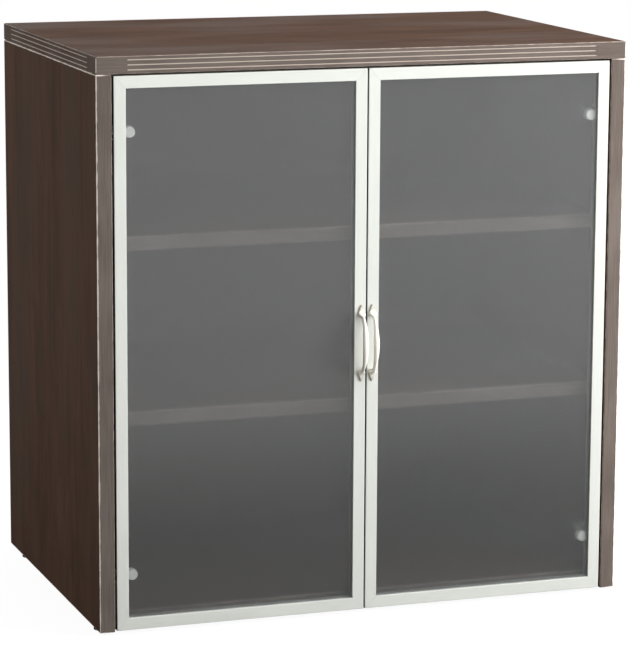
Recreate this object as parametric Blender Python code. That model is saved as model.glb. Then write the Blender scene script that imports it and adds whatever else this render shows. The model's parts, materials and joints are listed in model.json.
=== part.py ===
"""Two-door glass display bookcase in dark laminate, with satin aluminium door frames.

Frame: metres, +X right, the doors face -Y, +Z up. The origin is on the floor, under the
centre of the overall box, which runs from the handles to the back edge.

Door dimensions are given in door coordinates: u from the door's hinge-side edge towards
the meeting edge, v from the door's front face backwards. "side" is -1 for the left door
and +1 for the right door.
"""

import math

import bmesh
import bpy
from mathutils import Matrix, Vector

# Case
WIDTH = 0.9144
DEPTH = 0.610
CASE_HEIGHT = 0.940
GLIDE_STANDOFF = 0.006
SIDE_THICKNESS = 0.026
TOP_THICKNESS = 0.0286
BOTTOM_THICKNESS = 0.0286
BACK_THICKNESS = 0.006
BACK_INSET = 0.008
BOTTOM_SETBACK = 0.026
PANEL_EDGE_RADIUS = 0.0018
GAP = 0.0003

# Grooves along the front and side edges of the top
GROOVE_WIDTH = 0.0016
GROOVE_DEPTH = 0.0014
GROOVE_PITCH = 0.0080
GROOVE_COUNT = 3
GROOVE_END_MARGIN = 0.052

# Shelves, which hang on pins in a 32 mm hole system
SHELF_THICKNESS = 0.023
SHELF_SETBACK = 0.030
SHELF_END_CLEARANCE = 0.002
SHELF_BACK_CLEARANCE = 0.002
SHELF_TOPS = {"upper": 0.647, "lower": 0.359}
PIN_HOLE_PITCH = 0.032
PIN_HOLES_EACH_WAY = 2
PIN_HOLE_RADIUS = 0.0027
PIN_HOLE_DEPTH = 0.0105
PIN_SHANK_RADIUS = 0.0024
PIN_SHANK_LENGTH = 0.0090
PIN_PEG_RADIUS = 0.0029
PIN_PEG_LENGTH = 0.0091
PIN_COLLAR_RADIUS = 0.0038
PIN_COLLAR_LENGTH = 0.0013
PIN_CHAMFER = 0.0006
PIN_FRONT_SETBACK = 0.067
PIN_REAR_SETBACK = 0.540

# Doors
DOOR_SIDE_GAP = 0.003
DOOR_TOP_GAP = 0.003
DOOR_MEETING_GAP = 0.0024
DOOR_BOTTOM_LIFT = 0.002
DOOR_THICKNESS = 0.021
FRAME_FACE = 0.020
FRAME_FRONT_RADII = (0.0010, 0.0008)
FRAME_BACK_CHAMFER = 0.0006
GROOVE_BOTTOM_U = 0.0146
GLASS_GROOVE_V = (0.0016, 0.0084)
GLASS_V = (0.0030, 0.0070)
GLASS_EDGE_U = 0.0160
GASKET_WALL = 0.0008
GASKET_WING_U = 0.0198

# Concealed hinges
HINGE_FROM_DOOR_END = 0.0905
PIVOT_U = 0.0105
PIVOT_V = 0.0080
HINGE_PIN_RADIUS = 0.0015
HINGE_HOLE_RADIUS = 0.0018
KNUCKLE_RADIUS = 0.0028
ARM_HALF_HEIGHT = 0.0056
EAR_HALF_HEIGHT = 0.00895
EAR_RADIUS = 0.0034
EAR_CLEARANCE = 0.00035
EAR_ROOT_U = 0.0160
EAR_ROOT_V = (0.0092, 0.0150)
NOTCH_HALF_HEIGHT = 0.0115
NOTCH_FRONT_V = 0.0036
CUP_RADIUS = 0.0092
CUP_CENTRE_U = 0.0285
CUP_V = (0.0118, 0.0222)
CUP_EDGE = 0.0009
CUP_NECK_U = (0.0145, 0.0196)
CUP_NECK_HALF_HEIGHT = 0.0086
CUP_MOUTH_HALF_HEIGHT = 0.0068
FLANGE_U = (0.0030, 0.0192)
FLANGE_HALF_HEIGHT = 0.0190
FLANGE_MOUTH = (0.0150, 0.0118)
FLANGE_THICKNESS = 0.0015
ARM_NECK_HALF_WIDTH = 0.0015
ARM_NECK_END_V = 0.0258
ARM_OUTLINE = (
    (0.0148, 0.0272), (0.0152, 0.0290), (0.0140, 0.0700), (0.0105, 0.0780),
    (0.0043, 0.0780), (0.0043, 0.0290), (0.0056, 0.0272),
)
PLATE_THICKNESS = 0.0018
PLATE_V = (0.0300, 0.0800)
PLATE_HALF_HEIGHT = 0.0068
WING_ROOT_V = (0.0340, 0.0540)
WING_TIP_V = (0.0360, 0.0520)
WING_HALF_HEIGHT = 0.0240
RIB_TOP_U = 0.0040
RIB_SINK = 0.0006
RIB_V = (0.0315, 0.0785)
RIB_HALF_HEIGHT = 0.0052

# Handles: the bow's outer and inner curves, given as half spans and powers, and leaf-shaped feet
HANDLE_LENGTH = 0.128
HANDLE_HOLE_SPACING = 0.096
HANDLE_REACH = 0.028
HANDLE_FROM_MEETING_EDGE = 0.0082
BOW_OUTER_SPAN = 0.0525
BOW_OUTER_POWER = 0.50
BOW_INNER_SPAN = 0.0450
BOW_INNER_POWER = 0.42
BOW_THICKNESS = 0.0052
BOW_WIDTH = 0.0100
BOW_END_WIDTH = 0.0054
BOW_TAPER = 1.5
FOOT_FROM = 0.0450
FOOT_SHOULDER = 0.0030
FOOT_WIDTH = 0.0128
FOOT_TIP_WIDTH = 0.0024
FOOT_HEIGHT = 0.0032
FOOT_RIM = 0.0009
HANDLE_SCREW_RADIUS = 0.0018
HANDLE_SCREW_HOLE_RADIUS = 0.0021
HANDLE_SCREW_DEPTH = 0.0056
HANDLE_SCREW_HEAD = (0.0038, 0.0022)

# Magnetic catch
CATCH_HALF_WIDTH = 0.030
CATCH_HEIGHT = 0.017
CATCH_V = (0.0229, 0.046)
STRIKE_V = (0.0213, 0.0225)
STRIKE_FROM_CENTRE = (0.004, 0.027)
STRIKE_BELOW_DOOR_TOP = (0.0165, 0.0035)

# Levelling glides
GLIDE_SETBACKS = {"front": 0.047, "rear": 0.530}
GLIDE_FOOT_RADIUS = 0.011
GLIDE_FOOT_HEIGHT = 0.0040
GLIDE_HEX_RADIUS = 0.0078
GLIDE_HEX_Z = (0.0020, 0.0056)
GLIDE_STEM_RADIUS = 0.0040
GLIDE_STEM_TOP = 0.025
INSERT_RADII = (0.0043, 0.0062)
INSERT_HOLE_RADIUS = 0.0065
INSERT_LENGTH = 0.020
INSERT_HOLE_SLACK = 0.003

# Derived places
FRONT_Y = -(DEPTH - HANDLE_REACH) / 2
BACK_Y = FRONT_Y + DEPTH
BASE_Z = GLIDE_STANDOFF
TOP_Z = BASE_Z + CASE_HEIGHT
TOP_UNDERSIDE_Z = TOP_Z - TOP_THICKNESS
INNER_HALF_WIDTH = WIDTH / 2 - SIDE_THICKNESS
DOOR_OUTER_X = INNER_HALF_WIDTH - DOOR_SIDE_GAP
DOOR_WIDTH = DOOR_OUTER_X - DOOR_MEETING_GAP / 2
DOOR_LOW_Z = BASE_Z + DOOR_BOTTOM_LIFT
DOOR_HIGH_Z = TOP_UNDERSIDE_Z - DOOR_TOP_GAP
DOOR_MID_Z = (DOOR_LOW_Z + DOOR_HIGH_Z) / 2
BACK_FRONT_Y = BACK_Y - BACK_INSET - BACK_THICKNESS
HINGE_HEIGHTS = {
    "upper": DOOR_HIGH_Z - HINGE_FROM_DOOR_END,
    "lower": DOOR_LOW_Z + HINGE_FROM_DOOR_END,
}
SIDES = {"left": -1, "right": 1}


# ---------------------------------------------------------------- helpers


def linear(level):
    """One 0-255 display level as a linear value."""
    value = level / 255
    return value / 12.92 if value <= 0.04045 else ((value + 0.055) / 1.055) ** 2.4


def material(name, levels, roughness, metallic=0.0, transmission=0.0):
    made = bpy.data.materials.new(name)
    made.use_nodes = True
    shader = made.node_tree.nodes["Principled BSDF"]
    shader.inputs["Base Color"].default_value = [linear(level) for level in levels] + [1.0]
    shader.inputs["Roughness"].default_value = roughness
    shader.inputs["Metallic"].default_value = metallic
    shader.inputs["Transmission Weight"].default_value = transmission
    return made


def add_object(name, bm, look, parent=None, location=(0.0, 0.0, 0.0), smooth_below=None):
    """Turn a bmesh, in coordinates relative to location, into an object at location."""
    bmesh.ops.recalc_face_normals(bm, faces=bm.faces[:])
    mesh = bpy.data.meshes.new(name)
    bm.to_mesh(mesh)
    bm.free()
    mesh.materials.append(look)
    made = bpy.data.objects.new(name, mesh)
    bpy.context.collection.objects.link(made)
    made.location = location
    if parent is not None:
        made.parent = parent
    if smooth_below is not None:
        mesh.shade_smooth()
        mesh.set_sharp_from_angle(angle=math.radians(smooth_below))
    return made


def add_box(bm, low, high):
    size = [b - a for a, b in zip(low, high)]
    centre = [(a + b) / 2 for a, b in zip(low, high)]
    placed = Matrix.Translation(centre) @ Matrix.Diagonal([*size, 1.0])
    bmesh.ops.create_cube(bm, size=1.0, matrix=placed)


def add_prism(bm, outline, low, high, axes):
    """Extrude a 2-D outline. axes gives the world axes of (first, second, extrusion)."""
    rings = []
    for level in (low, high):
        ring = []
        for first, second in outline:
            point = [0.0, 0.0, 0.0]
            point[axes[0]], point[axes[1]], point[axes[2]] = first, second, level
            ring.append(bm.verts.new(point))
        rings.append(ring)
    bridge(bm, rings[0], rings[1])
    bm.faces.new(rings[0])
    bm.faces.new(rings[1])


def bridge(bm, ring, following):
    for i in range(len(ring)):
        j = (i + 1) % len(ring)
        bm.faces.new((ring[i], ring[j], following[j], following[i]))


def add_turned(bm, profile, sides, axis=2, hollow=False):
    """Revolve a (radius, height) profile about an axis. A solid one has flat end caps."""
    across = [(axis + 1) % 3, (axis + 2) % 3]
    rings = []
    for radius, height in profile:
        ring = []
        for i in range(sides):
            angle = 2 * math.pi * i / sides
            point = [0.0, 0.0, 0.0]
            point[across[0]] = radius * math.cos(angle)
            point[across[1]] = radius * math.sin(angle)
            point[axis] = height
            ring.append(bm.verts.new(point))
        rings.append(ring)
    for ring, following in zip(rings, rings[1:]):
        bridge(bm, ring, following)
    if hollow:
        bridge(bm, rings[-1], rings[0])
    else:
        bm.faces.new(rings[0])
        bm.faces.new(rings[-1])


def arc(centre, radius, start, end, steps):
    """Points along an arc, angles in degrees."""
    points = []
    for i in range(steps + 1):
        angle = math.radians(start + (end - start) * i / steps)
        points.append((centre[0] + radius * math.cos(angle), centre[1] + radius * math.sin(angle)))
    return points


def rounded(outline, radius, steps=3):
    """The outline with each corner replaced by a fillet."""
    result = []
    for i, corner in enumerate(outline):
        corner = Vector(corner)
        before = (Vector(outline[i - 1]) - corner).normalized()
        after = (Vector(outline[(i + 1) % len(outline)]) - corner).normalized()
        half_angle = before.angle(after) / 2
        reach = radius / math.tan(half_angle)
        centre = corner + (before + after).normalized() * (radius / math.sin(half_angle))
        start = corner + before * reach - centre
        end = corner + after * reach - centre
        turn = start.angle_signed(end)
        for k in range(steps + 1):
            result.append(tuple(centre + Matrix.Rotation(-turn * k / steps, 2) @ start))
    return result


def boolean(target, operand, operation):
    """Combine with a hidden operand, which stays in the file as a wire guide."""
    operand.hide_render = True
    operand.display_type = "WIRE"
    step = target.modifiers.new(operation.title(), "BOOLEAN")
    step.operation = operation
    step.solver = "EXACT"
    step.object = operand


def bevel(target, width, segments=2):
    step = target.modifiers.new("Eased edges", "BEVEL")
    step.width = width
    step.segments = segments
    step.limit_method = "ANGLE"
    step.angle_limit = math.radians(40)


def panel(name, low, high, look, edge=PANEL_EDGE_RADIUS):
    """A board between two world corners, its origin at its centre."""
    centre = [(a + b) / 2 for a, b in zip(low, high)]
    bm = bmesh.new()
    add_box(bm, [a - c for a, c in zip(low, centre)], [b - c for b, c in zip(high, centre)])
    made = add_object(name, bm, look, location=centre)
    if edge:
        bevel(made, edge)
    return made


# ---------------------------------------------------------------- case


def groove_cutter():
    """Stopped grooves along the front, left and right edges of the top, as one cutter."""
    bm = bmesh.new()
    edges = (
        (1, FRONT_Y, -WIDTH / 2, WIDTH / 2, 0),
        (0, -WIDTH / 2, FRONT_Y, BACK_Y, 1),
        (0, WIDTH / 2, FRONT_Y, BACK_Y, 1),
    )
    mid_z = TOP_Z - TOP_THICKNESS / 2
    radius = GROOVE_WIDTH / 2
    for normal_axis, face, low, high, run_axis in edges:
        for i in range(GROOVE_COUNT):
            z = mid_z + (i - (GROOVE_COUNT - 1) / 2) * GROOVE_PITCH
            start = low + GROOVE_END_MARGIN + radius
            end = high - GROOVE_END_MARGIN - radius
            outline = arc((start, z), radius, 90, 270, 6) + arc((end, z), radius, -90, 90, 6)
            add_prism(bm, outline, face - GROOVE_DEPTH, face + GROOVE_DEPTH,
                      (run_axis, 2, normal_axis))
    return add_object("groove_cutter", bm, bpy.data.materials["laminate"])


def build_case(laminate, board):
    top = panel("top_panel", (-WIDTH / 2, FRONT_Y, TOP_UNDERSIDE_Z),
                (WIDTH / 2, BACK_Y, TOP_Z), laminate)
    boolean(top, groove_cutter(), "DIFFERENCE")

    for side_name, side in SIDES.items():
        inner = side * INNER_HALF_WIDTH
        outer = side * WIDTH / 2
        side_panel = panel(f"{side_name}_side_panel",
                           (min(inner, outer), FRONT_Y, BASE_Z),
                           (max(inner, outer), BACK_Y, TOP_UNDERSIDE_Z - GAP), laminate)
        boolean(side_panel, side_panel_cutter(side_name, side), "DIFFERENCE")

    inside = INNER_HALF_WIDTH - GAP
    panel("bottom_panel", (-inside, FRONT_Y + BOTTOM_SETBACK, BASE_Z),
          (inside, BACK_FRONT_Y - GAP, BASE_Z + BOTTOM_THICKNESS), laminate)
    panel("back_panel", (-inside, BACK_FRONT_Y, BASE_Z),
          (inside, BACK_FRONT_Y + BACK_THICKNESS, TOP_UNDERSIDE_Z - GAP), board, edge=0)
    for name, height in SHELF_TOPS.items():
        build_shelf(name, BASE_Z + height, laminate)


def build_shelf(name, top_z, laminate):
    half = INNER_HALF_WIDTH - SHELF_END_CLEARANCE
    panel(f"{name}_shelf", (-half, FRONT_Y + SHELF_SETBACK, top_z - SHELF_THICKNESS),
          (half, BACK_FRONT_Y - SHELF_BACK_CLEARANCE, top_z), laminate)


def pin_height(top):
    """The height of a shelf's pins, for a shelf whose top is this far above the case's base."""
    return BASE_Z + top - SHELF_THICKNESS - GAP - PIN_PEG_RADIUS


def side_panel_cutter(side_name, side):
    """Shelf-pin holes in the inner face and insert holes in the lower edge."""
    bm = bmesh.new()
    inner = side * INNER_HALF_WIDTH
    for setback in (PIN_FRONT_SETBACK, PIN_REAR_SETBACK):
        for top in SHELF_TOPS.values():
            for step in range(-PIN_HOLES_EACH_WAY, PIN_HOLES_EACH_WAY + 1):
                centre = (FRONT_Y + setback, pin_height(top) + step * PIN_HOLE_PITCH)
                outline = arc(centre, PIN_HOLE_RADIUS, 0, 324, 9)
                add_prism(bm, outline, inner - side * GAP, inner + side * PIN_HOLE_DEPTH,
                          (1, 2, 0))
    for setback in GLIDE_SETBACKS.values():
        centre = (side * (WIDTH / 2 - SIDE_THICKNESS / 2), FRONT_Y + setback)
        outline = arc(centre, INSERT_HOLE_RADIUS, 0, 342, 19)
        add_prism(bm, outline, BASE_Z - GAP, BASE_Z + INSERT_LENGTH + INSERT_HOLE_SLACK,
                  (0, 1, 2))
    return add_object(f"{side_name}_side_cutter", bm, bpy.data.materials["laminate"])


def build_shelf_pins(steel):
    """A turned pin: shank in the panel, thin collar, and the peg that the shelf rests on."""
    for shelf, top in SHELF_TOPS.items():
        for side_name, side in SIDES.items():
            for row, setback in (("front", PIN_FRONT_SETBACK), ("rear", PIN_REAR_SETBACK)):
                bm = bmesh.new()
                profile = (
                    (PIN_SHANK_RADIUS - PIN_CHAMFER, PIN_SHANK_LENGTH),
                    (PIN_SHANK_RADIUS, PIN_SHANK_LENGTH - PIN_CHAMFER),
                    (PIN_SHANK_RADIUS, -GAP),
                    (PIN_COLLAR_RADIUS, -GAP),
                    (PIN_COLLAR_RADIUS, -PIN_COLLAR_LENGTH),
                    (PIN_PEG_RADIUS, -PIN_COLLAR_LENGTH),
                    (PIN_PEG_RADIUS, -PIN_PEG_LENGTH + PIN_CHAMFER),
                    (PIN_PEG_RADIUS - PIN_CHAMFER, -PIN_PEG_LENGTH),
                )
                add_turned(bm, [(r, side * x) for r, x in profile], 12, axis=0)
                add_object(f"{shelf}_shelf_pin_{side_name}_{row}", bm, steel,
                           location=(side * INNER_HALF_WIDTH, FRONT_Y + setback, pin_height(top)),
                           smooth_below=40)


def build_glides(plastic, steel):
    """Screw-in levelling glides with a hexagon to turn them by, and their threaded inserts."""
    for side_name, side in SIDES.items():
        for row, setback in GLIDE_SETBACKS.items():
            place = (side * (WIDTH / 2 - SIDE_THICKNESS / 2), FRONT_Y + setback, 0.0)
            bm = bmesh.new()
            foot = GLIDE_FOOT_RADIUS
            stem = GLIDE_STEM_RADIUS
            top = GLIDE_FOOT_HEIGHT
            add_turned(bm, ((foot - 0.0008, 0.0), (foot, 0.0008), (foot, top * 0.7),
                            (foot - 0.0012, top * 0.9), (stem, top),
                            (stem, GLIDE_STEM_TOP - 0.001), (stem - 0.001, GLIDE_STEM_TOP)), 20)
            glide = add_object(f"levelling_glide_{side_name}_{row}", bm, plastic, location=place,
                               smooth_below=40)
            bm = bmesh.new()
            outline = arc((0.0, 0.0), GLIDE_HEX_RADIUS, 0, 300, 5)
            add_prism(bm, outline, *GLIDE_HEX_Z, (0, 1, 2))
            hexagon = add_object(f"glide_hexagon_operand_{side_name}_{row}", bm, plastic,
                                 location=place)
            boolean(glide, hexagon, "UNION")

            bm = bmesh.new()
            inner, outer = INSERT_RADII
            low = BASE_Z + GAP
            high = low + INSERT_LENGTH
            add_turned(bm, ((inner, low), (outer, low), (outer, high), (inner, high)), 20,
                       hollow=True)
            add_object(f"glide_insert_{side_name}_{row}", bm, steel, location=place,
                       smooth_below=40)


# ---------------------------------------------------------------- doors


def frame_profile():
    """The extruded frame section in (u, v), with a groove for the glass and its gasket."""
    face = FRAME_FACE
    outer, inner = FRAME_FRONT_RADII
    chamfer = FRAME_BACK_CHAMFER
    low_v, high_v = GLASS_GROOVE_V
    outline = arc((outer, outer), outer, 180, 270, 3)
    outline += arc((face - inner, inner), inner, 270, 360, 3)
    outline += [(face, low_v), (GROOVE_BOTTOM_U, low_v), (GROOVE_BOTTOM_U, high_v), (face, high_v)]
    outline += [(face, DOOR_THICKNESS - chamfer), (face - chamfer, DOOR_THICKNESS)]
    outline += [(chamfer, DOOR_THICKNESS), (0.0, DOOR_THICKNESS - chamfer)]
    return outline


def gasket_profile():
    """A U-shaped seal round the glass edge, in (u, v)."""
    base = GROOVE_BOTTOM_U + GAP
    low = GLASS_V[0] - GAP - GASKET_WALL
    high = GLASS_V[1] + GAP + GASKET_WALL
    return [
        (base, low), (GASKET_WING_U, low), (GASKET_WING_U, low + GASKET_WALL),
        (base + GASKET_WALL, low + GASKET_WALL), (base + GASKET_WALL, high - GASKET_WALL),
        (GASKET_WING_U, high - GASKET_WALL), (GASKET_WING_U, high), (base, high),
    ]


def door_point(side, u, v, z):
    """Door coordinates as a world point."""
    return Vector((side * (DOOR_OUTER_X - u), FRONT_Y + v, z))


def hinge_axis(side_name, side):
    """The door's vertical axis, through the hinge pins."""
    axis = bpy.data.objects.new(f"{side_name}_door_axis", None)
    axis.empty_display_size = 0.05
    axis.location = door_point(side, PIVOT_U, PIVOT_V, DOOR_LOW_Z)
    bpy.context.collection.objects.link(axis)
    return axis


def local(axis, point):
    """A world point relative to an unrotated empty."""
    return Vector(point) - axis.location


def ring_corners(side, u, v, end_gap):
    """The four corners of the door ring at one profile point, each as (along x, along z)."""
    low_u, high_u = u, DOOR_WIDTH - u
    low_z, high_z = DOOR_LOW_Z + u, DOOR_HIGH_Z - u
    shift = end_gap
    return {
        "hinge_stile": (
            door_point(side, low_u, v, low_z + shift), door_point(side, low_u, v, high_z - shift)),
        "meeting_stile": (
            door_point(side, high_u, v, low_z + shift), door_point(side, high_u, v, high_z - shift)),
        "bottom_rail": (
            door_point(side, low_u + shift, v, low_z), door_point(side, high_u - shift, v, low_z)),
        "top_rail": (
            door_point(side, low_u + shift, v, high_z), door_point(side, high_u - shift, v, high_z)),
    }


def build_frame_member(side_name, side, axis, member, metal):
    """One length of the frame profile, cut at 45 degrees at both ends."""
    mitre_gap = GAP / 2 * math.sqrt(2)
    bm = bmesh.new()
    ends = [ring_corners(side, u, v, mitre_gap)[member] for u, v in frame_profile()]
    rings = [[bm.verts.new(local(axis, pair[k])) for pair in ends] for k in (0, 1)]
    bridge(bm, rings[0], rings[1])
    bm.faces.new(rings[0])
    bm.faces.new(rings[1])
    return add_object(f"{side_name}_door_{member}", bm, metal, parent=axis)


def build_gasket(side_name, side, axis, rubber):
    bm = bmesh.new()
    rings = []
    corners = [ring_corners(side, u, v, 0.0) for u, v in gasket_profile()]
    for member, end in (("hinge_stile", 0), ("meeting_stile", 0),
                        ("meeting_stile", 1), ("hinge_stile", 1)):
        rings.append([bm.verts.new(local(axis, point[member][end])) for point in corners])
    for i, ring in enumerate(rings):
        bridge(bm, ring, rings[(i + 1) % len(rings)])
    add_object(f"{side_name}_door_gasket", bm, rubber, parent=axis)


def build_glass(side_name, side, axis, glass):
    low = door_point(side, GLASS_EDGE_U, GLASS_V[0], DOOR_LOW_Z + GLASS_EDGE_U)
    high = door_point(side, DOOR_WIDTH - GLASS_EDGE_U, GLASS_V[1], DOOR_HIGH_Z - GLASS_EDGE_U)
    bm = bmesh.new()
    add_box(bm, local(axis, low), local(axis, high))
    add_object(f"{side_name}_door_glass", bm, glass, parent=axis)


def cut_hinge_notches(stile, side_name, side, axis):
    """Pockets in the back of the hinge stile, where the hinge arms swing."""
    reach = 0.001
    front_pocket_u = GROOVE_BOTTOM_U + 0.0004
    shelf_v = GLASS_GROOVE_V[1] - 0.0002
    outline = [
        (-reach, NOTCH_FRONT_V), (front_pocket_u, NOTCH_FRONT_V), (front_pocket_u, shelf_v),
        (FRAME_FACE + reach, shelf_v), (FRAME_FACE + reach, DOOR_THICKNESS + reach),
        (-reach, DOOR_THICKNESS + reach),
    ]
    bm = bmesh.new()
    for height in HINGE_HEIGHTS.values():
        points = [local(axis, door_point(side, u, v, height)) for u, v in outline]
        add_prism(bm, [(p.x, p.y) for p in points], points[0].z - NOTCH_HALF_HEIGHT,
                  points[0].z + NOTCH_HALF_HEIGHT, (0, 1, 2))
    cutter = add_object(f"{side_name}_notch_cutter", bm, bpy.data.materials["aluminium"],
                        parent=axis)
    boolean(stile, cutter, "DIFFERENCE")


def handle_hole_heights():
    return (DOOR_MID_Z - HANDLE_HOLE_SPACING / 2, DOOR_MID_Z + HANDLE_HOLE_SPACING / 2)


def screw_hole_cutter(name, side, axis, low_v, high_v):
    bm = bmesh.new()
    u = DOOR_WIDTH - HANDLE_FROM_MEETING_EDGE
    for height in handle_hole_heights():
        centre = local(axis, door_point(side, u, 0.0, height))
        outline = arc((centre.x, centre.z), HANDLE_SCREW_HOLE_RADIUS, 0, 330, 11)
        add_prism(bm, outline, centre.y + low_v, centre.y + high_v, (0, 2, 1))
    return add_object(name, bm, bpy.data.materials["aluminium"], parent=axis)


def bow_height(z, span, peak, power):
    """Height of one curve of the bow above the door, at z from the handle's middle."""
    return peak * max(0.0, 1 - (z / span) ** 2) ** power


def handle_width(away):
    """The bow narrows towards its feet, and each foot widens at its shoulders and ends in a tip."""
    along_bow = min(1.0, away / FOOT_FROM)
    fullness = math.cos(math.pi / 2 * along_bow) ** BOW_TAPER
    bow = BOW_END_WIDTH + (BOW_WIDTH - BOW_END_WIDTH) * fullness
    if away < FOOT_FROM:
        return bow
    shoulder = min(1.0, (away - FOOT_FROM) / FOOT_SHOULDER)
    leaf_from = FOOT_FROM + FOOT_SHOULDER
    along_leaf = max(0.0, (away - leaf_from) / (HANDLE_LENGTH / 2 - leaf_from))
    leaf = FOOT_TIP_WIDTH + (FOOT_WIDTH - FOOT_TIP_WIDTH) * (1 - along_leaf ** 1.35)
    return bow + (leaf - bow) * math.sin(math.pi / 2 * shoulder) ** 2


def handle_section(z):
    """Width, inner height and outer height of the handle at z from its middle."""
    away = abs(z)
    foot = 0.0
    if away > FOOT_FROM:
        along_foot = (away - FOOT_FROM) / (HANDLE_LENGTH / 2 - FOOT_FROM)
        foot = FOOT_RIM + (FOOT_HEIGHT - FOOT_RIM) * math.sqrt(max(0.0, 1 - along_foot ** 2))
    outer = max(bow_height(z, BOW_OUTER_SPAN, HANDLE_REACH, BOW_OUTER_POWER), foot)
    inner_peak = HANDLE_REACH - BOW_THICKNESS
    inner = max(GAP, bow_height(z, BOW_INNER_SPAN, inner_peak, BOW_INNER_POWER))
    return handle_width(away), inner, outer


def build_handle(side_name, side, axis, metal):
    """A slender bow pull: a crowned band that rises from two flat leaf-shaped feet."""
    stations = 44
    half = HANDLE_LENGTH / 2
    centre = local(axis, door_point(side, DOOR_WIDTH - HANDLE_FROM_MEETING_EDGE, 0.0, DOOR_MID_Z))
    bm = bmesh.new()
    rings = []
    for i in range(stations + 1):
        z = -half * math.cos(math.pi * i / stations)
        width, inner, outer = handle_section(z)
        edge = inner + (outer - inner) * 0.22
        crown = outer - edge
        ring = [(-width * 0.40, inner), (width * 0.40, inner)]
        for k in range(9):
            angle = math.pi * k / 8
            ring.append((width / 2 * math.cos(angle), edge + crown * math.sin(angle) ** 0.8))
        rings.append([bm.verts.new((centre.x + x, centre.y - h, centre.z + z)) for x, h in ring])
    for ring, following in zip(rings, rings[1:]):
        bridge(bm, ring, following)
    bm.faces.new(rings[0])
    bm.faces.new(rings[-1])
    handle = add_object(f"{side_name}_door_handle", bm, metal, parent=axis, smooth_below=50)
    boolean(handle, screw_hole_cutter(f"{side_name}_handle_hole_cutter", side, axis,
                                      -HANDLE_SCREW_DEPTH - 0.0006, GAP), "DIFFERENCE")


def build_handle_screws(side_name, side, axis, steel):
    head_radius, head_height = HANDLE_SCREW_HEAD
    seat = DOOR_THICKNESS + GAP
    profile = (
        (HANDLE_SCREW_RADIUS - 0.0004, -HANDLE_SCREW_DEPTH),
        (HANDLE_SCREW_RADIUS, -HANDLE_SCREW_DEPTH + 0.0006),
        (HANDLE_SCREW_RADIUS, seat), (head_radius, seat),
        (head_radius, seat + head_height * 0.5), (head_radius * 0.62, seat + head_height),
    )
    u = DOOR_WIDTH - HANDLE_FROM_MEETING_EDGE
    for name, height in zip(("lower", "upper"), handle_hole_heights()):
        bm = bmesh.new()
        add_turned(bm, profile, 12, axis=1)
        add_object(f"{side_name}_handle_screw_{name}", bm, steel, parent=axis,
                   location=local(axis, door_point(side, u, 0.0, height)), smooth_below=40)


def build_strike_plate(side_name, side, axis, steel):
    near, far = STRIKE_FROM_CENTRE
    low_z, high_z = (DOOR_HIGH_Z - drop for drop in STRIKE_BELOW_DOOR_TOP)
    bm = bmesh.new()
    outline = rounded([(near, low_z), (far, low_z), (far, high_z), (near, high_z)], 0.002)
    points = [local(axis, (side * x, FRONT_Y, z)) for x, z in outline]
    add_prism(bm, [(p.x, p.z) for p in points], points[0].y + STRIKE_V[0],
              points[0].y + STRIKE_V[1], (0, 2, 1))
    add_object(f"{side_name}_door_strike_plate", bm, steel, parent=axis)


def build_door(side_name, side, looks):
    axis = hinge_axis(side_name, side)
    members = {}
    for member in ("hinge_stile", "meeting_stile", "top_rail", "bottom_rail"):
        members[member] = build_frame_member(side_name, side, axis, member, looks["aluminium"])
    cut_hinge_notches(members["hinge_stile"], side_name, side, axis)
    boolean(members["meeting_stile"],
            screw_hole_cutter(f"{side_name}_stile_hole_cutter", side, axis, -0.001,
                              DOOR_THICKNESS + 0.001), "DIFFERENCE")
    build_gasket(side_name, side, axis, looks["rubber"])
    build_glass(side_name, side, axis, looks["glass"])
    build_handle(side_name, side, axis, looks["nickel"])
    build_handle_screws(side_name, side, axis, looks["steel"])
    build_strike_plate(side_name, side, axis, looks["steel"])
    for height_name, height in HINGE_HEIGHTS.items():
        build_hinge(f"{side_name}_{height_name}_hinge", side, height, axis, looks["nickel"])
    return axis


# ---------------------------------------------------------------- hinges


def hinge_prism(bm, side, outline, low, high, plane):
    """A prism about the hinge pivot. plane is "uv" (extruded in z) or "uz" (extruded in v)."""
    if plane == "uv":
        points = [(side * (PIVOT_U - u), v - PIVOT_V) for u, v in outline]
        add_prism(bm, points, low, high, (0, 1, 2))
    else:
        points = [(side * (PIVOT_U - u), z) for u, z in outline]
        add_prism(bm, points, low - PIVOT_V, high - PIVOT_V, (0, 2, 1))


def build_hinge(name, side, height, axis, metal):
    pivot = door_point(side, PIVOT_U, PIVOT_V, height)
    build_hinge_cup(name, side, local(axis, pivot), axis, metal)
    build_hinge_pin(name, local(axis, pivot), axis, metal)
    build_hinge_arm(name, side, pivot, metal)
    build_mounting_plate(name, side, pivot, metal)


def pin_hole_cutter(name, place, axis, metal):
    bm = bmesh.new()
    outline = arc((0.0, 0.0), HINGE_HOLE_RADIUS, 0, 337.5, 15)
    add_prism(bm, outline, -NOTCH_HALF_HEIGHT, NOTCH_HALF_HEIGHT, (0, 1, 2))
    return add_object(name, bm, metal, parent=axis, location=place)


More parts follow.
